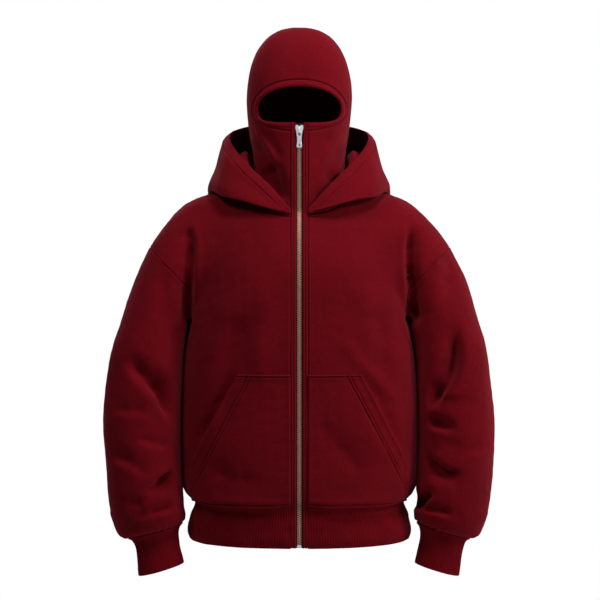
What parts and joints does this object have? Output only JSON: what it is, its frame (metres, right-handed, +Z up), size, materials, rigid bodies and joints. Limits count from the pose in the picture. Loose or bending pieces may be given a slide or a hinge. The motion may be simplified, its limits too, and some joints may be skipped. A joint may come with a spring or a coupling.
{
  "type": "zip hoodie with face mask",
  "caption": "Hollow zip hoodie, filled out as when worn, with kangaroo pockets, rib cuffs and hem, a face mask the zip runs up into, and a wide hood lying open round the neck.",
  "frame": {"origin": "between the shoulders, level with the neck ends of the shoulder seams, where a wearer or a form holds the garment up", "axes": "+Z up, -Y the front, +X the wearer's left"},
  "size_m": [0.7659, 0.3588, 1.0791],
  "materials": {
    "fleece": "brushed cotton fleece, deep burgundy",
    "rib_knit": "rib knit, deep burgundy",
    "zip_tape": "woven tape, dark burgundy",
    "zip_teeth": "antique brass",
    "zip_metal": "satin nickel"
  },
  "bodies": {
    "garment": {"back": "fleece", "cuff_left": "rib_knit", "cuff_right": "rib_knit", "eye_band": "fleece", "front_left": "fleece", "front_right": "fleece", "hem_band": "rib_knit", "hood_left": "fleece", "hood_right": "fleece", "mask_back": "fleece", "mask_front": "fleece", "placket_left": "fleece", "placket_right": "fleece", "pocket_left": "fleece", "pocket_right": "fleece", "sleeve_left": "fleece", "sleeve_right": "fleece", "zip_bottom_stop": "zip_metal", "zip_chain": "zip_teeth", "zip_slider": "zip_metal", "zip_tape_left": "zip_tape", "zip_tape_right": "zip_tape"},
    "pull_tab": {"zip_pull_tab": "zip_metal"}
  },
  "joints": [
    {"name": "pull_tab_swing", "type": "hinge", "parent": "garment", "child": "pull_tab", "pos_m": [0, -0.1058, 0.1016], "axis": [-1, 0, 0], "range_deg": [0, 160]}
  ]
}
